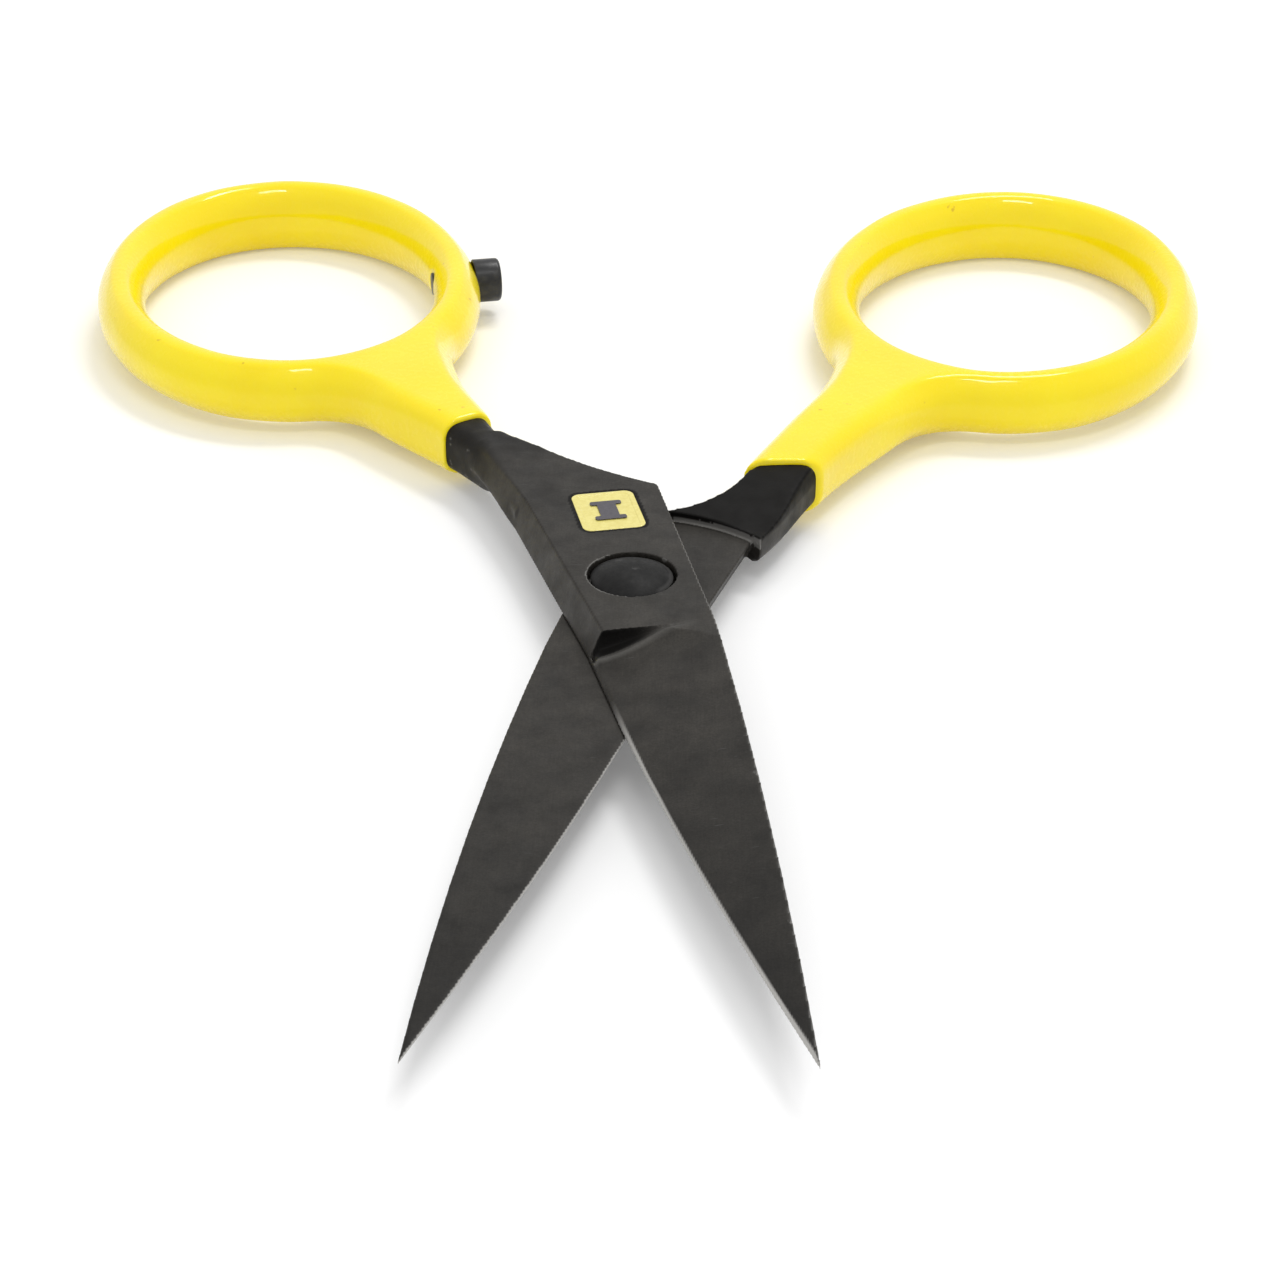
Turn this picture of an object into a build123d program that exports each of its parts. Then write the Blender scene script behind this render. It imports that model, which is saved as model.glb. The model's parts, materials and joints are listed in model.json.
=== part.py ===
"""Thread snips: two steel halves with coated finger rings, which turn on a keyed stud.

Millimetres, +Z up. The origin is on the pivot axis, in the plane that the snips rest on.
The tips point to -Y and the finger rings to +Y. The snips stand open, with each half turned
REST_ANGLE from the centreline. Each half is drawn in its own frame: its inner face looks
to -Z, its tip lies on -Y and its finger ring on the -X side. The lower half is such a half
turned over about Y, with a narrower back.
"""

import os
from math import cos, hypot, radians, sin

from build123d import *

# Stance
REST_ANGLE = 12.8                # each half's turn from the centreline as the snips stand
REST_HEIGHT = 2.8                # plane between the halves, above the resting plane
RIDE_GAP = 0.02                  # each half's inner face to that plane

# Blade and pivot block
BLADE_LENGTH = 44.5              # pivot to tip
BLOCK_THICK = 2.0                # from the plane between the halves
BLADE_HEEL = (-3.45, -14.0)
BLADE_BELLY = (-2.2, -28.0)
UPPER_SPINE = (2.15, -26.0)
LOWER_SPINE = (2.4, -26.0)
SPINE_END = (3.75, -6.0)
BLOCK_FRONT = (-3.85, -6.0)      # the block's outer side runs from here
BLOCK_BACK = (-5.5, 10.5)        # to here
BLOCK_CORNER = (3.95, 11.3)
CORNER_ROUND = 0.4
WING_BOW = (-0.8, 15.7)          # back edge of the upper block, on its way to the neck
WING_RELIEF = 1.1                # the wing's underside is cut away this high, past the shoulder
WING_RELIEF_X = -2.5             # and no nearer to the neck than this
WING_MARGIN = 0.4                # the cut starts this far inside the shoulder's circle
UPPER_NECK = [(-4.6, 21.5), (-7.4, 21.5)]   # the plate ends here inside the neck
LOWER_NECK = [(-3.9, 16.9), (-7.2, 16.9)]
LOWER_CORNER = (3.9, 10.2)
SIDE_DRAFT = (0.8, 1.9)          # how far the block's outer side leans in, over what height
BOLSTER_Y = -6.3                 # the ground face of the blade runs out here
BOLSTER_RUN = 2.2
GRIND_AT_TIP = 0.3               # thickness left at the tip
GRIND_ACROSS = 0.222             # slope of the ground face from edge to spine
GRIND_ALONG = 0.0256             # slope of the ground face from tip to bolster
EDGE_FACET = (0.12, 0.24)        # cutting facet: across, up

# Shank and finger ring; the steel core lies inside a dipped coating
RING_CENTRE = (-16.3, 50.6)
RING_A, RING_B = 12.6, 16.95     # half axes of the ring's centreline
CORE_HALF_WIDTH = 1.2
CORE_HALF_HEIGHT = 2.45          # at the ring's far end
HEIGHT_TAPER = 0.015             # how fast the core gets lower from there towards the pivot
CORE_ROUND = 1.0
COAT = 0.35
COAT_ROUND = 1.35
RING_START = -37.0               # angle on the ring where the shank's inner side meets it
RING_SWEEP = 305.0               # round the ring from there to the shank's outer side
SHANK_INNER = [(-3.1, 12.0), (-3.4, 15.0), (-4.6, 21.5), (-6.1, 29.0), (-6.5, 34.0)]
SHANK_OUTER = (-11.6, 28.0)
UPPER_SIDE = [(-5.4, 11.0), (-5.8, 14.5), (-7.7, 21.5)]   # the shank's outer side up to there
LOWER_SIDE = [(-6.1, 9.0), (-6.8, 11.5), (-7.9, 17.5)]
LOWER_ROOT = [(1.0, 10.87), (-0.9, 11.8), (-2.5, 13.5), (-3.7, 16.4)]   # flare of the lower foot
FOOT_INSET = 0.15                # the foot's raised face stays this far inside its outer side
SHOULDER_RADIUS = 10.9           # the lower shank steps up past the inner face beyond this circle
UPPER_RISE = [(15.5, -0.02), (18.0, 1.0), (21.5, 1.7)]    # y, depth past the inner face
LOWER_RISE = [(10.0, 0.5), (17.2, 1.65)]
BACK_RAMP = (4.0, 0.4)           # the outer face falls to the core's height over this stretch,
#                                  measured back from the coating's edge
UPPER_COAT_EDGE = (-6.3, 22.5)
LOWER_COAT_EDGE = (-6.0, 17.3)
UPPER_EDGE_SLANT = 22.0          # how far the coating's edge is turned from the X direction
LOWER_EDGE_SLANT = -15.0

# Pivot stack
BORE_R = 1.53
STUD_R = 1.5
STUD_FLAT = 1.2                  # half of the size across the stud's two flats
KEY_CLEARANCE = 0.02
HEAD_R = 2.5
HEAD_POCKET = (2.72, 1.0)        # radius, depth
HEAD_EDGE = 0.55
HEAD_DOME = 0.6
DOME_AT = (0.72, 0.56)           # the dome passes here, as parts of its radius and height
WASHER = (1.56, 2.4, 0.2)        # inner radius, outer radius, thickness
SPRING = (1.3, 2.5, 0.25)
THREAD_R = 0.9
SCREW_HEAD_R = 2.75
SCREW_POCKET = (2.95, 0.6)       # radius, depth
SCREW_TIP_Z = 3.2
SCREW_BEVEL = 0.2
THREAD_RUNOUT = 0.2              # the stud's thread goes this far past the screw's tip
SPANNER_HOLE = (0.4, 0.45, 1.7)  # radius, depth, distance from the axis
FACE_GAP = 0.03                  # between faces that turn on each other
THREAD_CLEARANCE = 0.02

# Bumper on the upper ring
BUMPER_Y = 51.0
BUMPER_R = 1.65
BUMPER_TIP_X = -0.15
BUMPER_ROOT_X = -3.2
BUMPER_ROUND = 0.3
STEM_R = 0.85
STEM_END_X = -5.4

# Badge let into the upper block, with a spool mark on it
BADGE_CENTRE = (0.15, 8.3)
BADGE_SIZE = (4.0, 5.0)
BADGE_ROUND = 0.6
BADGE_DEPTH = 0.15
MARK_DEPTH = 0.06
SPOOL_FLANGE = (2.0, 0.45)
SPOOL_BODY = (1.2, 1.5)

REACH = 60.0                     # longer than any cut has to be
TALL = 5.0                       # higher than anything either side of the inner face


def heading(angle):
    """A unit vector in the XY plane, angle degrees anticlockwise from +X."""
    return (cos(radians(angle)), sin(radians(angle)), 0)


UPPER = Plane((0, 0, REST_HEIGHT), x_dir=heading(REST_ANGLE), z_dir=(0, 0, 1))
LOWER = Plane((0, 0, REST_HEIGHT), x_dir=heading(180 - REST_ANGLE), z_dir=(0, 0, -1))
BACK_Z = REST_HEIGHT - BLOCK_THICK
SPRING_TOP = BACK_Z + SCREW_POCKET[1]
SCREW_HEAD_TOP = SPRING_TOP - SPRING[2] - FACE_GAP


def moved_right(points, grow):
    """The points of one side of the shank, moved by grow to the right of their run."""
    moved = []
    for i, (x, y) in enumerate(points):
        before = points[max(i - 1, 0)]
        after = points[min(i + 1, len(points) - 1)]
        run = (after[0] - before[0], after[1] - before[1])
        step = grow / hypot(*run)
        moved.append((x + run[1] * step, y - run[0] * step))
    return moved


def core_height(y):
    """Half of the steel core's height at y."""
    return CORE_HALF_HEIGHT - HEIGHT_TAPER * (RING_CENTRE[1] + RING_B + CORE_HALF_WIDTH - y)


def handle(side, grow=0.0, rounding=CORE_ROUND):
    """Shank and finger ring: the steel core, or with grow the outside of its coating."""
    width = CORE_HALF_WIDTH + grow
    a, b = RING_A + width, RING_B + width
    with BuildPart() as body:
        with BuildSketch():
            with BuildLine():
                ring = EllipticalCenterArc(RING_CENTRE, a, b, RING_START, arc_size=RING_SWEEP)
                inner = moved_right(SHANK_INNER, grow)
                outer = moved_right([*side, SHANK_OUTER], -grow)
                foot_run = Vector(*outer[0]) - Vector(*outer[1])
                Spline(*inner, ring @ 0, tangents=(Vector(*inner[1]) - Vector(*inner[0]), ring % 0))
                Spline(ring @ 1, *reversed(outer), tangents=(ring % 1, foot_run))
                Line(outer[0], inner[0])
            make_face()
            with Locations(RING_CENTRE):
                Ellipse(RING_A - width, RING_B - width, mode=Mode.SUBTRACT)
        extrude(amount=TALL, both=True)
        with BuildSketch(Plane.YZ):
            for up in (1, -1):
                with BuildLine():
                    near, far = up * (core_height(0) + grow), up * (core_height(2 * REACH) + grow)
                    Polyline((0, near), (2 * REACH, far), (2 * REACH, up * 2 * TALL), (0, up * 2 * TALL),
                             close=True)
                make_face()
        extrude(amount=REACH, both=True, mode=Mode.SUBTRACT)
        levels = body.faces().sort_by(Axis.Z)
        rims = levels[0].edges() + levels[-1].edges()
        rims = [rim for rim in rims if rim.geom_type != GeomType.LINE]
        fillet(rims, radius=rounding)
    return body.part


def plate(wide_back):
    """Blade and pivot block as one plate, before it is ground and drilled."""
    tip = (0, -BLADE_LENGTH)
    corner = BLOCK_CORNER if wide_back else LOWER_CORNER
    neck_inner, neck_outer = UPPER_NECK if wide_back else LOWER_NECK
    with BuildPart() as body:
        with BuildSketch(Plane.XY.offset(RIDE_GAP)):
            with BuildLine():
                ThreePointArc(tip, UPPER_SPINE if wide_back else LOWER_SPINE, SPINE_END)
                Line(SPINE_END, corner)
                if wide_back:
                    ThreePointArc(corner, WING_BOW, neck_inner)
                else:
                    RadiusArc(corner, LOWER_ROOT[0], -hypot(*corner))
                    Spline(*LOWER_ROOT, neck_inner)
                Polyline(neck_inner, neck_outer, BLOCK_BACK, BLOCK_FRONT, BLADE_HEEL)
                ThreePointArc(BLADE_HEEL, BLADE_BELLY, tip)
            make_face()
        extrude(amount=BLOCK_THICK - RIDE_GAP)
        upright = body.edges().filter_by(Axis.Z)
        fillet(upright.sort_by_distance((*corner, BLOCK_THICK / 2))[0], radius=CORNER_ROUND)
        top = body.faces().sort_by(Axis.Z)[-1]
        sides = []
        for start, end in ((BLOCK_FRONT, BLOCK_BACK), (BLOCK_BACK, neck_outer)):
            middle = ((start[0] + end[0]) / 2, (start[1] + end[1]) / 2, BLOCK_THICK)
            sides.append(top.edges().sort_by_distance(middle)[0])
        chamfer(sides, length=SIDE_DRAFT[0], length2=SIDE_DRAFT[1], reference=top)
    return body.part


def ground_blade(wide_back):
    """The plate with its blade ground to a taper that runs out at the bolster."""
    across = Plane((0, 0, 0), x_dir=(0, 1, 0), z_dir=(1, 0, GRIND_ACROSS))
    up = -1 if across.y_dir.Z < 0 else 1
    lean = across.z_dir.X

    def ground_height(y):
        return up * lean * (GRIND_AT_TIP + GRIND_ALONG * (BLADE_LENGTH + y))

    with BuildPart() as body:
        add(plate(wide_back))
        with BuildSketch(across):
            with BuildLine():
                start_y = BOLSTER_Y - BOLSTER_RUN
                far = (-REACH, ground_height(-REACH))
                run = Line(far, (start_y, ground_height(start_y)))
                out = TangentArc(run @ 1, (BOLSTER_Y, up * BLOCK_THICK), tangent=run % 1)
                Polyline(out @ 1, (BOLSTER_Y, up * TALL), (-REACH, up * TALL), far)
            make_face()
        extrude(amount=2 * TALL, both=True, mode=Mode.SUBTRACT)
        ground = body.faces().filter_by(GeomType.PLANE).sort_by_distance((*BLADE_BELLY, BLOCK_THICK / 2))
        ground = ground.filter_by(lambda face: 0.5 < face.normal_at().Z < 0.999)[0]
        belly = ground.edges().sort_by_distance((*BLADE_BELLY, GRIND_AT_TIP))[0]
        chamfer(belly, length=EDGE_FACET[0], length2=EDGE_FACET[1], reference=ground)
    return body.part


def steel_half(wide_back):
    """One forged half, from the tip of its blade to the core of its finger ring."""
    side, rise, edge_y = (LOWER_SIDE, LOWER_RISE, LOWER_COAT_EDGE[1])
    if wide_back:
        side, rise, edge_y = (UPPER_SIDE, UPPER_RISE, UPPER_COAT_EDGE[1])
    with BuildPart() as body:
        add(handle(side))
        if not wide_back:
            with BuildSketch():
                with BuildLine():
                    edge = moved_right(side, FOOT_INSET)
                    Spline(*LOWER_ROOT)
                    Line(LOWER_ROOT[-1], edge[-1])
                    Polyline(*reversed(edge), LOWER_ROOT[0])
                make_face()
            extrude(amount=-core_height(SHANK_INNER[1][1]))
        with BuildSketch(Plane.XY.offset(RIDE_GAP)):
            Circle(SHOULDER_RADIUS)
        extrude(amount=-TALL, mode=Mode.SUBTRACT)
        with BuildSketch(Plane.YZ):
            with BuildLine():
                Polyline((0, -rise[0][1]), *[(y, -depth) for y, depth in rise], (rise[-1][0], -TALL),
                         (0, -TALL), close=True)
            make_face()
        extrude(amount=REACH, both=True, mode=Mode.SUBTRACT)
        add(ground_blade(wide_back))
        with BuildSketch(Plane.YZ):
            with BuildLine():
                ramp_y = [edge_y - back for back in BACK_RAMP]
                end = (edge_y, core_height(edge_y))
                Polyline((ramp_y[0], BLOCK_THICK), (ramp_y[1], core_height(ramp_y[1])), end,
                         (edge_y, TALL), (ramp_y[0], TALL), close=True)
            make_face()
        extrude(amount=REACH, both=True, mode=Mode.SUBTRACT)
        if wide_back:
            with BuildSketch():
                with Locations((WING_RELIEF_X, 0)):
                    Rectangle(REACH, 2 * SHOULDER_RADIUS, align=(Align.MIN, Align.MIN))
                Circle(SHOULDER_RADIUS - WING_MARGIN, mode=Mode.SUBTRACT)
            extrude(amount=WING_RELIEF, mode=Mode.SUBTRACT)
    return body.part


def coat_zone(edge, slant):
    """Everything past the slanted line through edge where the coating begins."""
    line = Plane((*edge, 0), x_dir=heading(slant), z_dir=(0, 0, 1))
    with BuildPart(mode=Mode.PRIVATE) as zone:
        with BuildSketch(line):
            Rectangle(2 * REACH, 2 * REACH, align=(Align.CENTER, Align.MIN))
        extrude(amount=TALL, both=True)
    return zone.part


def grip(blade, side, edge, slant):
    """The dipped coating round the steel past edge, in a half's own frame."""
    with BuildPart() as body:
        add(handle(side, COAT, COAT_ROUND))
        add(coat_zone(edge, slant), mode=Mode.INTERSECT)
        add(blade, mode=Mode.SUBTRACT)
    return body.part


def placed(half_part, plane):
    """The part, moved from a half's own frame to its place."""
    return half_part.moved(plane.location)


def stem_hole():
    """The bore through the ring that holds the bumper's stem, in the upper half's frame."""
    with BuildPart(mode=Mode.PRIVATE) as hole:
        with BuildSketch(Plane.YZ.offset(STEM_END_X - STEM_R)):
            with Locations((BUMPER_Y, 0)):
                Circle(STEM_R)
        extrude(amount=BUMPER_ROOT_X - STEM_END_X + 3 * STEM_R)
    return hole.part


def double_flat(clearance=0.0):
    """Sketch of the stud's keyed section: a round with two flats."""
    with BuildSketch(mode=Mode.PRIVATE) as section:
        Circle(STUD_R + clearance)
        Rectangle(4 * STUD_R, 2 * (STUD_FLAT + clearance), mode=Mode.INTERSECT)
    return section.sketch


# The two steel halves
upper_steel = steel_half(wide_back=True)
lower_steel = steel_half(wide_back=False)
upper_coat = grip(upper_steel, UPPER_SIDE, UPPER_COAT_EDGE, UPPER_EDGE_SLANT)
lower_coat = grip(lower_steel, LOWER_SIDE, LOWER_COAT_EDGE, LOWER_EDGE_SLANT)

with BuildPart() as upper_blade:
    add(placed(upper_steel, UPPER))
    with BuildSketch(UPPER.offset(BLOCK_THICK)):
        Circle(HEAD_POCKET[0])
    extrude(amount=-HEAD_POCKET[1], mode=Mode.SUBTRACT)
    with BuildSketch(UPPER):
        Circle(BORE_R)
    extrude(amount=BLOCK_THICK, mode=Mode.SUBTRACT)
    with BuildSketch(UPPER.offset(BLOCK_THICK)):
        with Locations(BADGE_CENTRE):
            RectangleRounded(*BADGE_SIZE, radius=BADGE_ROUND)
    extrude(amount=-BADGE_DEPTH, mode=Mode.SUBTRACT)
    add(placed(stem_hole(), UPPER), mode=Mode.SUBTRACT)

with BuildPart() as lower_blade:
    add(placed(lower_steel, LOWER))
    with BuildSketch(LOWER.offset(BLOCK_THICK)):
        Circle(SCREW_POCKET[0])
    extrude(amount=-SCREW_POCKET[1], mode=Mode.SUBTRACT)
    with BuildSketch(LOWER):
        add(double_flat(KEY_CLEARANCE))
    extrude(amount=BLOCK_THICK, mode=Mode.SUBTRACT)

# The dipped coatings
with BuildPart() as upper_grip:
    add(placed(upper_coat, UPPER))
    add(placed(stem_hole(), UPPER), mode=Mode.SUBTRACT)

with BuildPart() as lower_grip:
    add(placed(lower_coat, LOWER))

# Badge and its mark, a spool of thread
with BuildPart() as badge_inlay:
    with BuildSketch(UPPER.offset(BLOCK_THICK - BADGE_DEPTH)):
        with Locations(BADGE_CENTRE):
            RectangleRounded(*BADGE_SIZE, radius=BADGE_ROUND)
    extrude(amount=BADGE_DEPTH)

with BuildPart() as badge_mark:
    with BuildSketch(UPPER.offset(BLOCK_THICK)):
        x, y = BADGE_CENTRE
        reach = (SPOOL_BODY[1] + SPOOL_FLANGE[1]) / 2
        with Locations(BADGE_CENTRE):
            Rectangle(*SPOOL_BODY)
        with Locations((x, y - reach), (x, y + reach)):
            RectangleRounded(*SPOOL_FLANGE, radius=SPOOL_FLANGE[1] / 3)
    extrude(amount=MARK_DEPTH)

# Pivot: the stud turns in the upper half and is keyed in the lower one
seat_z = REST_HEIGHT + BLOCK_THICK - HEAD_POCKET[1]
with BuildPart() as thrust_washer:
    with BuildSketch(Plane.XY.offset(seat_z)):
        Circle(WASHER[1])
        Circle(WASHER[0], mode=Mode.SUBTRACT)
    extrude(amount=WASHER[2])

with BuildPart() as pivot_stud:
    head_z = seat_z + WASHER[2] + FACE_GAP
    rim_z = head_z + HEAD_EDGE
    crown_z = rim_z + HEAD_DOME
    with BuildSketch(Plane.XZ):
        with BuildLine():
            ThreePointArc((0, crown_z), (HEAD_R * DOME_AT[0], rim_z + HEAD_DOME * DOME_AT[1]),
                          (HEAD_R, rim_z))
            Polyline((HEAD_R, rim_z), (HEAD_R, head_z), (STUD_R, head_z), (STUD_R, SPRING_TOP),
                     (0, SPRING_TOP), (0, crown_z))
        make_face()
    revolve(axis=Axis.Z)
    with BuildSketch(LOWER):
        with Locations((0, STUD_FLAT + STUD_R / 2), (0, -STUD_FLAT - STUD_R / 2)):
            Rectangle(4 * STUD_R, STUD_R)
    extrude(amount=REST_HEIGHT - SPRING_TOP, mode=Mode.SUBTRACT)
    with BuildSketch(Plane.XY.offset(SPRING_TOP)):
        Circle(THREAD_R + THREAD_CLEARANCE)
    extrude(amount=SCREW_TIP_Z + THREAD_RUNOUT - SPRING_TOP, mode=Mode.SUBTRACT)

with BuildPart() as spring_washer:
    inner, outer, thick = SPRING
    with BuildSketch(Plane.XZ):
        with BuildLine():
            Polyline((inner, SPRING_TOP), (outer, SPRING_TOP), (outer, SPRING_TOP - thick),
                     (inner, SPRING_TOP - thick), close=True)
        make_face()
    revolve(axis=Axis.Z)

with BuildPart() as tension_screw:
    with BuildSketch(Plane.XY):
        Circle(SCREW_HEAD_R)
    extrude(amount=SCREW_HEAD_TOP)
    chamfer(tension_screw.edges().sort_by(Axis.Z)[0], length=SCREW_BEVEL)
    with BuildSketch(Plane.XY):
        with PolarLocations(SPANNER_HOLE[2], 2):
            Circle(SPANNER_HOLE[0])
    extrude(amount=SPANNER_HOLE[1], mode=Mode.SUBTRACT)
    with BuildSketch(Plane.XY.offset(SCREW_HEAD_TOP)):
        Circle(THREAD_R)
    extrude(amount=SCREW_TIP_Z - SCREW_HEAD_TOP)

# Bumper: body on the inner side of the upper ring, stem plugged through it
bumper_foot = UPPER.from_local_coords(Vector(0, BUMPER_Y, 0))
bumper_line = Plane(bumper_foot, x_dir=heading(REST_ANGLE + 90), z_dir=heading(REST_ANGLE))
with BuildPart() as bumper:
    with BuildSketch(bumper_line.offset(BUMPER_ROOT_X)):
        Circle(BUMPER_R)
    extrude(amount=BUMPER_TIP_X - BUMPER_ROOT_X)
    fillet(bumper.edges().filter_by(GeomType.CIRCLE).sort_by(Axis.X)[-1], radius=BUMPER_ROUND)
    add(placed(handle(UPPER_SIDE, COAT, COAT_ROUND), UPPER), mode=Mode.SUBTRACT)
    with BuildSketch(bumper_line.offset(STEM_END_X)):
        Circle(STEM_R)
    extrude(amount=BUMPER_TIP_X - BUMPER_R - STEM_END_X)

os.makedirs("parts", exist_ok=True)
pieces = {
    "upper_blade": upper_blade, "lower_blade": lower_blade, "upper_grip": upper_grip,
    "lower_grip": lower_grip, "badge_inlay": badge_inlay, "badge_mark": badge_mark,
    "thrust_washer": thrust_washer, "pivot_stud": pivot_stud, "spring_washer": spring_washer,
    "tension_screw": tension_screw, "bumper": bumper,
}
for name, piece in pieces.items():
    piece.part.label = name
    export_step(piece.part, f"parts/{name}.step")
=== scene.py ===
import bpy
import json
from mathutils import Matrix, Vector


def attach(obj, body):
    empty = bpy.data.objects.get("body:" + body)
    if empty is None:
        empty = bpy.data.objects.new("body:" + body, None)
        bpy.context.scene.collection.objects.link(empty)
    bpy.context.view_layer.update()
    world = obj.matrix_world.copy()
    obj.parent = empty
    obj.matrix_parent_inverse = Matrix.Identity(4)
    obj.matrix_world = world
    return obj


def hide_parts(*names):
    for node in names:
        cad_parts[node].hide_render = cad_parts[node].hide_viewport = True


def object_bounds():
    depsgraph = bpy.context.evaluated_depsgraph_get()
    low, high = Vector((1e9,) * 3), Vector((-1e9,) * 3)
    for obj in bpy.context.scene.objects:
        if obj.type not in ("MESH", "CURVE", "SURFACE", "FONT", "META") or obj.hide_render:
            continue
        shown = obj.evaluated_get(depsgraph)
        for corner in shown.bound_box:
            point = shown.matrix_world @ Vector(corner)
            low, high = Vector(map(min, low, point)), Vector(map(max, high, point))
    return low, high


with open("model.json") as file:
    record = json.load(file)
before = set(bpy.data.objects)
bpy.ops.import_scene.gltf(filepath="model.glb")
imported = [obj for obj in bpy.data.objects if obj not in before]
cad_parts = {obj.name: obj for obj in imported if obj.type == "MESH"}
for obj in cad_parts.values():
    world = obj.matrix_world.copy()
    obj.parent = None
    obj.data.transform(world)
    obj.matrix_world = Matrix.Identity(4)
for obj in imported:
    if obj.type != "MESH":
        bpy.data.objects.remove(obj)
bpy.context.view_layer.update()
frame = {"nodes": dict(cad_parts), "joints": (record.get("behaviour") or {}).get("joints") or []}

import json
from math import cos, pi, radians, sin

import bmesh
import bpy
from mathutils import Matrix, Vector, noise
from mathutils.bvhtree import BVHTree

MM = 0.001
REST_ANGLE = 12.8          # each half's turn from the centreline, degrees

# The camera: how it looks at the pivot
LOOK_DOWN = 30.73          # degrees below the horizon
ROLL = 0.50
PAN = -1.01                # turn round the pivot's axis
DISTANCE = 157.8 * MM      # along the view to the pivot
AIM_RIGHT, AIM_UP = 0.50 * MM, -2.27 * MM
FOCAL_LENGTH = 73.125
SENSOR = 36.0

# Mesh work, in millimetres
STEEL_VOXEL = 0.1
HIDDEN_FROM = {True: 26.0, False: 21.0}   # upper or not: past here the steel lies inside its coating
COAT_VOXEL = 0.2
CAVITY_REACH = 0.06        # coating faces nearer than this to the steel are its hidden inside
SCOOP_END = -6.35          # where the grinding wheel left the block, in a half's own frame
SCOOP = (0.95, 0.45)       # how far it cut beside the edge, and how deep
SHOULDER_RADIUS = 10.9     # of the step behind the lower block, about the pivot
ROUNDER = (0.2, 0.5)       # the dipped rings' flat sides swell, and their corners draw in from that
LIP_BACK = 0.8             # how far the upper coating's lip draws back towards its ring
BADGE_RIM = (0.32, -0.04)  # width, and the panel's height from it
WAVE = (0.035, 0.28)       # how deep the dipped coating's waves are, and how many per mm
RING_STARTS = (24.0, 31.0)                # Y in a half's own frame where handle turns into ring
RING_ENDS = ((32.0, 35.0), (64.0, 67.0))  # Y ranges at the ring's near and far ends
HANDLE_WAY = Vector((-0.26, 0.965, 0))    # along the handle, towards its ring
BADGE_GAP = 0.25           # the steel round the badge is dark as far as this
EDGE_HEIGHT = 0.5          # how far the bright cutting edge reaches from the inner face
RIDGE_HIGHLIGHT = 0.4                # half width of the painted highlight along the ridge in front of the scoop

PIVOT = Vector(next(j for j in frame["joints"] if j["name"] == "pivot")["pos_m"])


def half_frame(upper):
    """Matrix from a half's own frame, ring on -X and inner face to -Z, to the object's frame."""
    turn = Matrix.Rotation(radians(REST_ANGLE), 4, "Z")
    if upper:
        return Matrix.Translation(PIVOT) @ turn
    turn = Matrix.Rotation(radians(-REST_ANGLE), 4, "Z")
    return Matrix.Translation(PIVOT) @ turn @ Matrix.Rotation(pi, 4, "Y")


def own_frame(upper):
    """Matrix from the object's frame to a half's own frame, both in millimetres."""
    metres = Matrix.Scale(MM, 4)
    return metres.inverted() @ half_frame(upper).inverted() @ metres


# ---------------------------------------------------------------- camera, lights and floor
def camera():
    down, roll = radians(LOOK_DOWN), radians(ROLL)
    turn = Matrix.Rotation(radians(-PAN), 3, "Z")
    right, up = Vector((1, 0, 0)), Vector((0, sin(down), cos(down)))
    forward = turn @ Vector((0, cos(down), -sin(down)))
    rolled_right = turn @ (cos(roll) * right + sin(roll) * up)
    rolled_up = turn @ (cos(roll) * up - sin(roll) * right)
    data = bpy.data.cameras.new("camera")
    data.lens = FOCAL_LENGTH
    data.sensor_width = SENSOR
    data.clip_start = 0.01
    eye = bpy.data.objects.new("camera", data)
    place = PIVOT - DISTANCE * forward + AIM_RIGHT * rolled_right + AIM_UP * rolled_up
    axes = Matrix((rolled_right, rolled_up, -forward)).transposed().to_4x4()
    eye.matrix_world = Matrix.Translation(place) @ axes
    bpy.context.scene.collection.objects.link(eye)
    bpy.context.scene.camera = eye


def soft_light(name, place, target, size, power):
    data = bpy.data.lights.new(name, "AREA")
    data.shape = "RECTANGLE"
    data.size, data.size_y = size
    data.energy = power
    lamp = bpy.data.objects.new(name, data)
    aim = (Vector(target) - Vector(place)).to_track_quat("-Z", "Y")
    lamp.matrix_world = Matrix.Translation(place) @ aim.to_matrix().to_4x4()
    bpy.context.scene.collection.objects.link(lamp)


def studio():
    world = bpy.data.worlds.new("studio")
    world.use_nodes = True
    world.node_tree.nodes["Background"].inputs["Color"].default_value = (1, 1, 1, 1)
    world.node_tree.nodes["Background"].inputs["Strength"].default_value = 0.80
    bpy.context.scene.world = world
    bpy.context.scene.view_settings.view_transform = "Standard"
    soft_light("key", (0.10, 0.22, 0.42), (0, 0.02, 0), (0.22, 0.07), 0.78)
    soft_light("strip", (0.03, -0.13, 0.40), (0, 0.03, 0), (0.15, 0.025), 0.2)


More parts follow.
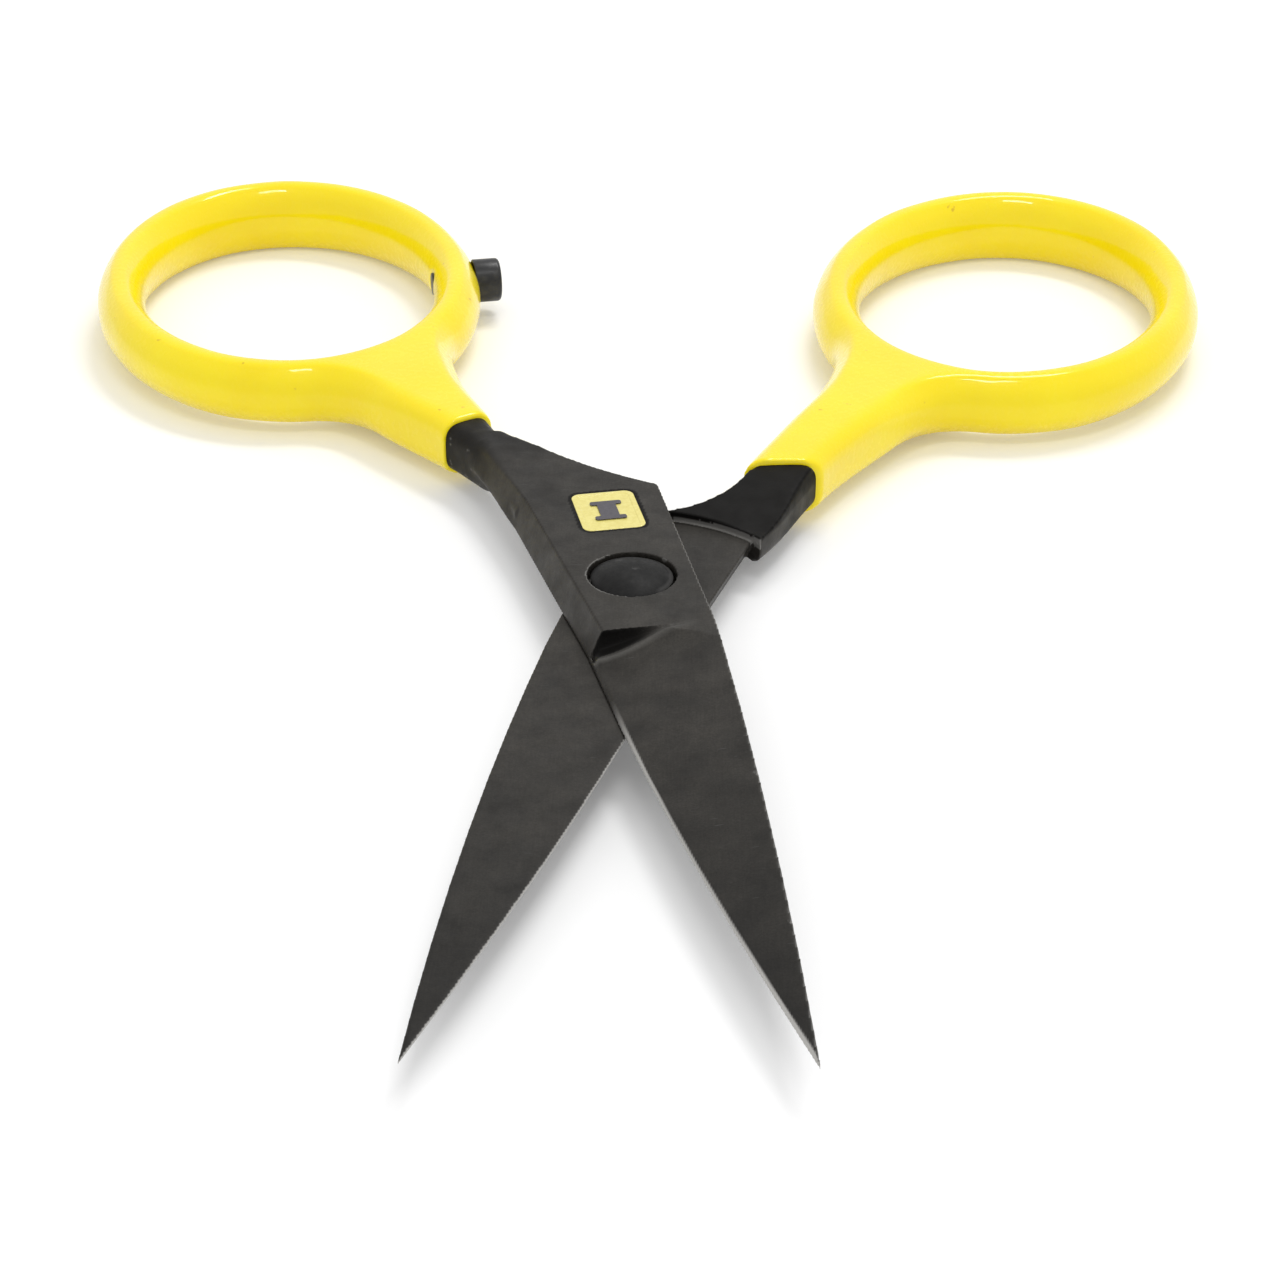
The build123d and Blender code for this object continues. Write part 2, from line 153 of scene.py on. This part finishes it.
# ---------------------------------------------------------------- materials
class Look:
    """A material's node tree, with short ways to add to it. Lengths are in millimetres."""

    def __init__(self, name, **shader):
        self.material = bpy.data.materials.new(name)
        self.material.use_nodes = True
        self.tree = self.material.node_tree
        self.shader = self.tree.nodes["Principled BSDF"]
        for socket, value in shader.items():
            self.shader.inputs[socket.replace("_", " ")].default_value = value
        where = self.tree.nodes.new("ShaderNodeTexCoord")
        scale = self.tree.nodes.new("ShaderNodeVectorMath")
        scale.operation = "SCALE"
        scale.inputs["Scale"].default_value = 1 / MM
        self.tree.links.new(where.outputs["Object"], scale.inputs[0])
        self.place = scale.outputs["Vector"]

    def stretched(self, factors, turn=0.0):
        """Places stretched along the axes, after a turn about Z, in degrees."""
        node = self.tree.nodes.new("ShaderNodeMapping")
        node.inputs["Rotation"].default_value = (0, 0, radians(turn))
        node.inputs["Scale"].default_value = factors
        self.tree.links.new(self.place, node.inputs["Vector"])
        return node.outputs["Vector"]

    def noise(self, per_mm, detail=4.0, rough=0.55, place=None):
        node = self.tree.nodes.new("ShaderNodeTexNoise")
        node.inputs["Scale"].default_value = per_mm
        node.inputs["Detail"].default_value = detail
        node.inputs["Roughness"].default_value = rough
        self.tree.links.new(place or self.place, node.inputs["Vector"])
        return node.outputs["Fac"]

    def ramp(self, value, stops):
        """Colour or grey by value: stops is a list of (position, colour)."""
        node = self.tree.nodes.new("ShaderNodeValToRGB")
        elements = node.color_ramp.elements
        while len(elements) < len(stops):
            elements.new(0.5)
        for element, (position, colour) in zip(elements, stops):
            element.position = position
            element.color = (*colour, 1) if isinstance(colour, tuple) else (colour, colour, colour, 1)
        self.tree.links.new(value, node.inputs["Fac"])
        return node.outputs["Color"]

    def mix(self, kind, amount, first, second):
        node = self.tree.nodes.new("ShaderNodeMix")
        node.data_type = "RGBA"
        node.blend_type = kind
        if isinstance(amount, (int, float)):
            node.inputs["Factor"].default_value = amount
        else:
            self.tree.links.new(amount, node.inputs["Factor"])
        for socket, value in ((node.inputs[6], first), (node.inputs[7], second)):
            if isinstance(value, tuple):
                socket.default_value = (*value, 1)
            else:
                self.tree.links.new(value, socket)
        return node.outputs[2]

    def edges(self, low, high):
        """1 along outward edges and 0 elsewhere."""
        node = self.tree.nodes.new("ShaderNodeNewGeometry")
        return self.ramp(node.outputs["Pointiness"], [(low, 0.0), (high, 1.0)])

    def mark(self, name):
        node = self.tree.nodes.new("ShaderNodeAttribute")
        node.attribute_name = name
        return node.outputs["Fac"]

    def along_y(self, low, high):
        """0 to 1 as Y goes from low to high millimetres."""
        split = self.tree.nodes.new("ShaderNodeSeparateXYZ")
        self.tree.links.new(self.place, split.inputs["Vector"])
        node = self.tree.nodes.new("ShaderNodeMapRange")
        node.inputs["From Min"].default_value = low
        node.inputs["From Max"].default_value = high
        self.tree.links.new(split.outputs["Y"], node.inputs["Value"])
        return node.outputs["Result"]

    def set(self, socket, value):
        self.tree.links.new(value, self.shader.inputs[socket])

    def bump(self, *layers):
        """Each layer is (height, strength, depth in millimetres)."""
        normal = None
        for height, strength, depth in layers:
            node = self.tree.nodes.new("ShaderNodeBump")
            node.inputs["Strength"].default_value = strength
            node.inputs["Distance"].default_value = depth * MM
            self.tree.links.new(height, node.inputs["Height"])
            if normal:
                self.tree.links.new(normal, node.inputs["Normal"])
            normal = node.outputs["Normal"]
        self.tree.links.new(normal, self.shader.inputs["Normal"])


def steel_look():
    look = Look("dark_steel", Metallic=0.25)
    cloud = look.noise(0.35, 5, 0.6)
    grain = look.noise(7.0, 3, 0.7)
    brushed = look.noise(1.0, 3, 0.6, look.stretched((9.0, 0.6, 4.0)))
    base = look.ramp(cloud, [(0.3, (0.0190, 0.0172, 0.0148)), (0.7, (0.040, 0.0362, 0.0308))])
    base = look.mix("OVERLAY", 0.45, base, look.ramp(grain, [(0.25, 0.2), (0.75, 0.8)]))
    base = look.mix("OVERLAY", 0.25, base, look.ramp(brushed, [(0.3, 0.3), (0.7, 0.7)]))
    scratches = look.ramp(look.noise(1.2, 1, 0.4, look.stretched((0.5, 7.0, 3.0), 35)),
                          [(0.76, 0.0), (0.79, 1.0)])
    base = look.mix("MIX", scratches, base, (0.05, 0.048, 0.045))
    fade = look.ramp(look.along_y(-44.0, -12.0), [(0.0, 0.35), (1.0, 1.0)])
    base = look.mix("MULTIPLY", 1.0, base, fade)
    # darker where the mark is set: along the shank, on the lower foot and round the badge; painted shade
    # on the scoop's wall and in its hollow
    base = look.mix("MIX", look.mark("dark_and_painted_shade"), base, (0.007, 0.0065, 0.006))
    base = look.mix("MIX", look.edges(0.54, 0.66), base, (0.09, 0.087, 0.082))
    # light steel on the ground cutting edge, and painted highlights on the spine's chamfer, the lower
    # shoulder's edge and the scoop's ridge
    look.set("Base Color", look.mix("MIX", look.mark("ground_edge_and_painted_highlight"), base, (0.45, 0.44, 0.42)))
    # less reflection under the same mark, on the darker parts and the painted shade
    look.set("Specular IOR Level", look.ramp(look.mark("dark_and_painted_shade"), [(0.0, 0.22), (1.0, 0.07)]))
    look.set("Roughness", look.ramp(look.noise(0.8, 4), [(0.3, 0.42), (0.7, 0.58)]))
    look.bump((cloud, 0.2, 0.12), (grain, 0.25, 0.03), (brushed, 0.12, 0.02))
    return look.material


def coating_look():
    look = Look("yellow_coating", Specular_IOR_Level=0.12, Coat_Weight=0.65, Coat_Roughness=0.04,
                Subsurface_Weight=0.08, Subsurface_Scale=0.6 * MM, Subsurface_Radius=(1.0, 0.7, 0.15))
    tint = look.noise(0.12, 3)
    fine = look.noise(2.2, 4)
    base = look.ramp(tint, [(0.3, (0.92, 0.71, 0.002)), (0.7, (0.96, 0.78, 0.006))])
    specks = look.ramp(look.noise(1.1, 2), [(0.73, 0.0), (0.78, 1.0)])
    look.set("Base Color", look.mix("MIX", specks, base, (0.72, 0.50, 0.012)))
    look.set("Roughness", look.ramp(fine, [(0.3, 0.25), (0.7, 0.29)]))
    look.bump((look.noise(0.3, 1), 0.1, 0.1))
    return look.material


def enamel_look(name, colour, shade, gloss):
    look = Look(name, Specular_IOR_Level=0.5, Coat_Weight=0.4, Coat_Roughness=0.08)
    spots = look.noise(3.5, 4, 0.65)
    look.set("Base Color", look.ramp(spots, [(0.3, shade), (0.65, colour)]))
    look.set("Roughness", look.ramp(spots, [(0.3, gloss + 0.1), (0.7, gloss)]))
    look.bump((look.noise(2.0, 3), 0.2, 0.03))
    return look.material


def turned_look(name, dark, light, metallic, rough):
    """Turned metal with fine rings about the pivot's axis."""
    look = Look(name, Metallic=metallic, Specular_IOR_Level=0.1)
    rings = look.tree.nodes.new("ShaderNodeTexWave")
    rings.wave_type = "RINGS"
    rings.rings_direction = "Z"
    rings.inputs["Scale"].default_value = 3.2
    rings.inputs["Distortion"].default_value = 0.6
    rings.inputs["Detail"].default_value = 2.0
    look.tree.links.new(look.place, rings.inputs["Vector"])
    cloud = look.noise(1.3, 4)
    base = look.ramp(cloud, [(0.3, dark), (0.7, light)])
    wear_and_painted_highlight = tuple(min(1, 2.2 * c) for c in light)
    look.set("Base Color", look.mix("MIX", look.edges(0.53, 0.66), base, wear_and_painted_highlight))
    look.set("Roughness", look.ramp(look.noise(5.0, 3), [(0.3, rough), (0.7, rough + 0.12)]))
    look.bump((rings.outputs["Fac"], 0.12, 0.02), (cloud, 0.15, 0.05))
    return look.material


def rubber_look():
    look = Look("black_rubber", Specular_IOR_Level=0.4)
    grain = look.noise(9.0, 4, 0.7)
    dust = look.ramp(look.noise(1.6, 4), [(0.45, (0.012, 0.012, 0.013)), (0.75, (0.032, 0.031, 0.030))])
    look.set("Base Color", dust)
    look.set("Roughness", look.ramp(grain, [(0.3, 0.26), (0.7, 0.45)]))
    look.bump((grain, 0.15, 0.02))
    return look.material


def floor_look():
    look = Look("floor", Roughness=0.7, Emission_Color=(1, 1, 1, 1), Emission_Strength=0.15)
    paper = look.noise(0.02, 2)
    look.set("Base Color", look.ramp(paper, [(0.3, (0.81, 0.81, 0.81)), (0.7, (0.83, 0.83, 0.83))]))
    return look.material


# ---------------------------------------------------------------- meshes
def in_mm(node):
    """A bmesh copy of a CAD node, in millimetres."""
    bm = bmesh.new()
    bm.from_mesh(frame["nodes"][node].data)
    bmesh.ops.scale(bm, vec=(1 / MM,) * 3, verts=bm.verts)
    bmesh.ops.remove_doubles(bm, verts=bm.verts, dist=1e-4)
    return bm


def piece_from(bm, name):
    mesh = bpy.data.meshes.new(name)
    bm.to_mesh(mesh)
    bm.free()
    piece = bpy.data.objects.new(name, mesh)
    bpy.context.scene.collection.objects.link(piece)
    return piece


def applied(piece):
    """The piece with its modifiers' result as its mesh."""
    graph = bpy.context.evaluated_depsgraph_get()
    mesh = bpy.data.meshes.new_from_object(piece.evaluated_get(graph))
    piece.modifiers.clear()
    old = piece.data
    piece.data = mesh
    bpy.data.meshes.remove(old)
    mesh.name = piece.name
    return piece


def remeshed(piece, voxel):
    modifier = piece.modifiers.new("remesh", "REMESH")
    modifier.mode = "VOXEL"
    modifier.voxel_size = voxel
    modifier.use_smooth_shade = True
    return applied(piece)


def smoothed(piece, repeat, weight=None, factor=0.5):
    """Smooths the mesh, as much as weight(point) says at each point."""
    modifier = piece.modifiers.new("smooth", "SMOOTH")
    modifier.factor = factor
    modifier.iterations = repeat
    if weight:
        group = piece.vertex_groups.new(name="smooth")
        for vertex in piece.data.vertices:
            group.add([vertex.index], weight(vertex.co), "REPLACE")
        modifier.vertex_group = group.name
    applied(piece)
    piece.vertex_groups.clear()
    return piece


def finished(piece, body, slot, *nodes):
    """Back to metres, smooth shaded, on its body and with its material."""
    piece.data.transform(Matrix.Scale(MM, 4))
    piece.data.materials.clear()
    piece.data.materials.append(LOOKS[slot])
    piece.data.shade_smooth()
    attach(piece, body)
    if nodes:
        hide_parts(*nodes)
    return piece


def step(value, low, high):
    """0 below low, 1 above high and smooth between them."""
    t = min(1.0, max(0.0, (value - low) / (high - low)))
    return t * t * (3 - 2 * t)


def cut_off(bm, local, y, keep_front):
    """Cuts the mesh at y in a half's own frame, keeps one side and closes it."""
    world = local.inverted()
    origin, normal = world @ Vector((0, y, 0)), world.to_3x3() @ Vector((0, 1, 0))
    everything = bm.verts[:] + bm.edges[:] + bm.faces[:]
    cut = bmesh.ops.bisect_plane(bm, geom=everything, plane_co=origin, plane_no=normal,
                                 clear_outer=keep_front, clear_inner=not keep_front)
    rim = [e for e in cut["geom_cut"] if isinstance(e, bmesh.types.BMEdge)]
    bmesh.ops.holes_fill(bm, edges=rim, sides=0)
    return bm


def in_scoop(place):
    """How much of the scoop's depth there is at this width, and how far along it the place is."""
    side = step(-place.x, -2.8, 3.0)
    length = max(SCOOP[0] * side, 1e-3)
    return side, (place.y - SCOOP_END + length) / length


def scooped(piece, local):
    """Cuts the grinding wheel's crescent into the outer face, beside the cutting edge."""
    down = local.to_3x3().inverted() @ Vector((0, 0, -1))
    for vertex in piece.data.vertices:
        place = local @ vertex.co
        side, along = in_scoop(place)
        if 0 < along < 1 and place.z > 0.4:
            vertex.co += SCOOP[1] * side * along ** 0.7 * down
    return piece


def toned_with_painted_light(piece, local, upper):
    """Marks where the steel is darker (along the shank, on the lower foot and round the badge), painted
    shade in the scoop's wall and hollow, the bright ground cutting edge and painted highlights.
    """
    marks = piece.data.attributes.new("dark_and_painted_shade", "FLOAT", "POINT")
    edges = piece.data.attributes.new("ground_edge_and_painted_highlight", "FLOAT", "POINT")
    turned = local.to_3x3()
    badge = in_mm("badge_inlay")
    inlay = BVHTree.FromBMesh(badge)
    badge.free()
    for vertex, mark, edge in zip(piece.data.vertices, marks.data, edges.data):
        place = local @ vertex.co
        normal = turned @ vertex.normal
        side, along = in_scoop(place)
        if place.y < SCOOP_END - 2 and abs(place.z) < EDGE_HEIGHT:
            edge.value = step(-normal.x, 0.35, 0.7) * step(-place.y, 11.0, 17.0)
        if upper:
            # dark round the badge, and darker along the shank
            by_badge = inlay.find_nearest(vertex.co, BADGE_GAP)[3] is not None
            mark.value = 1.0 if by_badge else 0.7 * step(place.y, 15.0, 20.0)
            # painted highlight on the spine's chamfer, on the faces turned up and towards +X
            if 0.25 < normal.x < 0.85 and normal.z > 0.35 and place.y < 6.0:
                edge.value = 0.3
        else:
            # darker on the foot past the inner face and along the shank
            mark.value = max(step(-place.z, 0.15, 0.45), 0.6 * step(place.y, 11.5, 14.0))
            # painted highlight along the edge of the step round the lower shoulder
            wear_and_painted_highlight = abs(Vector(place.xy).length - SHOULDER_RADIUS) < 0.12
            if wear_and_painted_highlight and place.x < 0 < place.y and abs(place.z) < 0.35:
                edge.value = 0.35
        # painted highlight along the ridge in front of the scoop
        ridge_highlight = 1 - abs(place.y - SCOOP_END + SCOOP[0] * side) / RIDGE_HIGHLIGHT
        if place.z > 0.3 and ridge_highlight > 0 and side > 0:
            edge.value = 0.14 * ridge_highlight * side ** 0.5
        # painted shade on the scoop's wall and in its hollow
        wall = -0.1 < place.y - SCOOP_END < 0.4 and normal.y < -0.5
        if place.z > 0.3 and (wall or 0.3 < along < 1):
            mark.value = max(mark.value, step(side, 0.2, 0.8))
    return piece


def forging(node, name, body, upper):
    """One steel half: the CAD shape with softened edges, painted shade and highlights marked on it, and
    a neck that flows into the block.
    """
    local = own_frame(upper)
    split = HIDDEN_FROM[upper]
    core = cut_off(in_mm(node), local, split, False)
    piece = remeshed(piece_from(cut_off(in_mm(node), local, split, True), name), STEEL_VOXEL)

    def neck(point):
        place = local @ point
        if upper:
            return step(place.y, 11.5, 17.5) * step(-place.x, 3.0, 5.0) * step(split - place.y, 0.5, 2.0)
        return step(place.y, 12.5, 15.5) * step(split - place.y, 0.5, 2.0)

    smoothed(scooped(piece, local), 2)
    smoothed(piece, 70 if upper else 20, neck)
    whole = bmesh.new()
    whole.from_mesh(piece.data)
    hidden = bpy.data.meshes.new("core")
    core.to_mesh(hidden)
    core.free()
    whole.from_mesh(hidden)
    whole.to_mesh(piece.data)
    whole.free()
    toned_with_painted_light(piece, local, upper)
    finished(piece, body, "dark_steel", node)
    return piece


def swollen(piece, local, weight):
    """Turns a ring's flat-sided section into a rounder, nearly elliptical one."""
    ends = []
    for low, high in RING_ENDS:
        heights = [v.co.z for v in piece.data.vertices if low < (local @ v.co).y < high]
        ends.append((min(heights), max(heights)))
    near, far = (sum(y_range) / 2 for y_range in RING_ENDS)
    swell, draw = ROUNDER
    normals = [v.normal.copy() for v in piece.data.vertices]
    for vertex, normal in zip(piece.data.vertices, normals):
        along = min(1.0, max(0.0, ((local @ vertex.co).y - near) / (far - near)))
        bottom, top = (a + along * (b - a) for a, b in zip(*ends))
        height = abs(2 * vertex.co.z - top - bottom) / (top - bottom)
        flat = Vector((normal.x, normal.y, 0))
        if flat.length > 0.05:
            outward = flat.normalized() * min(1.0, 1.5 * flat.length)
            vertex.co += weight(vertex.co) * (swell - draw * step(height, 0.1, 0.85)) * outward


def dipped(node, steel_node, name, body, upper):
    """A dipped coating: the CAD shape's outside, closed, softened and slightly wavy."""
    bm = in_mm(node)
    steel = in_mm(steel_node)
    tree = BVHTree.FromBMesh(steel)
    steel.free()
    inside = [f for f in bm.faces if tree.find_nearest(f.calc_center_median())[3] < CAVITY_REACH]
    bmesh.ops.delete(bm, geom=inside, context="FACES")
    rims = [e for e in bm.edges if e.is_boundary]
    bmesh.ops.holes_fill(bm, edges=rims, sides=0)
    bmesh.ops.recalc_face_normals(bm, faces=bm.faces)
    piece = smoothed(remeshed(piece_from(bm, name), COAT_VOXEL), 6)
    local = own_frame(upper)

    def ring(point):
        return step((local @ point).y, *RING_STARTS)

    swollen(piece, local, ring)
    smoothed(piece, 12, ring)
    depth, per_mm = WAVE
    back = local.to_3x3().inverted() @ HANDLE_WAY
    normals = [v.normal.copy() for v in piece.data.vertices]
    for vertex, normal in zip(piece.data.vertices, normals):
        amount = ring(vertex.co)
        vertex.co += depth * noise.noise(vertex.co * per_mm) * normal
        if upper:
            vertex.co += LIP_BACK * (1 - amount) * back
    return finished(piece, body, "yellow_coating", node)


def crisp(node, name, body, slot, edge, segments=2, rim=None):
    """The CAD shape with its edges rounded by edge, and with rim a panel sunk into its top."""
    bm = in_mm(node)
    bmesh.ops.dissolve_limit(bm, angle_limit=radians(1), verts=bm.verts, edges=bm.edges)
    if rim:
        top = max(bm.faces, key=lambda face: face.calc_center_median().z)
        width, depth = rim
        bmesh.ops.inset_region(bm, faces=[top], thickness=width)
        bmesh.ops.inset_region(bm, faces=[top], thickness=abs(depth), depth=depth)
    piece = piece_from(bm, name)
    modifier = piece.modifiers.new("edges", "BEVEL")
    modifier.width = edge
    modifier.segments = segments
    modifier.limit_method = "ANGLE"
    modifier.angle_limit = radians(35)
    modifier.harden_normals = False
    applied(piece)
    finished(piece, body, slot, node)
    piece.modifiers.new("normals", "WEIGHTED_NORMAL")
    return piece


LOOKS = {
    "dark_steel": steel_look(),
    "yellow_coating": coating_look(),
    "badge_enamel": enamel_look("badge_enamel", (0.80, 0.71, 0.22), (0.70, 0.60, 0.15), 0.3),
    "mark_enamel": enamel_look("mark_enamel", (0.045, 0.038, 0.052), (0.030, 0.025, 0.036), 0.4),
    "washer_steel": turned_look("washer_steel", (0.36, 0.35, 0.34), (0.5, 0.49, 0.48), 1.0, 0.3),
    "pivot_black": turned_look("pivot_black", (0.009, 0.009, 0.009), (0.019, 0.0185, 0.018), 0.15, 0.44),
    "black_rubber": rubber_look(),
}
camera()
studio()
low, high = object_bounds()
bpy.ops.mesh.primitive_plane_add(size=3, location=(0, 0, low.z))
floor = bpy.context.object
floor.name = "floor"
floor.data.materials.append(floor_look())

forging("upper_blade", "upper_forging", "upper_half", True)
forging("lower_blade", "lower_forging", "lower_half", False)
dipped("upper_grip", "upper_blade", "upper_coating", "upper_half", True)
dipped("lower_grip", "lower_blade", "lower_coating", "lower_half", False)
crisp("pivot_stud", "stud", "lower_half", "pivot_black", 0.07)
crisp("tension_screw", "screw", "tension_screw", "pivot_black", 0.05)
crisp("thrust_washer", "thrust_ring", "upper_half", "washer_steel", 0.03)
crisp("spring_washer", "spring_ring", "lower_half", "washer_steel", 0.03)
crisp("bumper", "rubber_stop", "upper_half", "black_rubber", 0.1, 3)
crisp("badge_inlay", "badge", "upper_half", "badge_enamel", 0.06, 3, BADGE_RIM)
crisp("badge_mark", "badge_spool", "upper_half", "mark_enamel", 0.02)
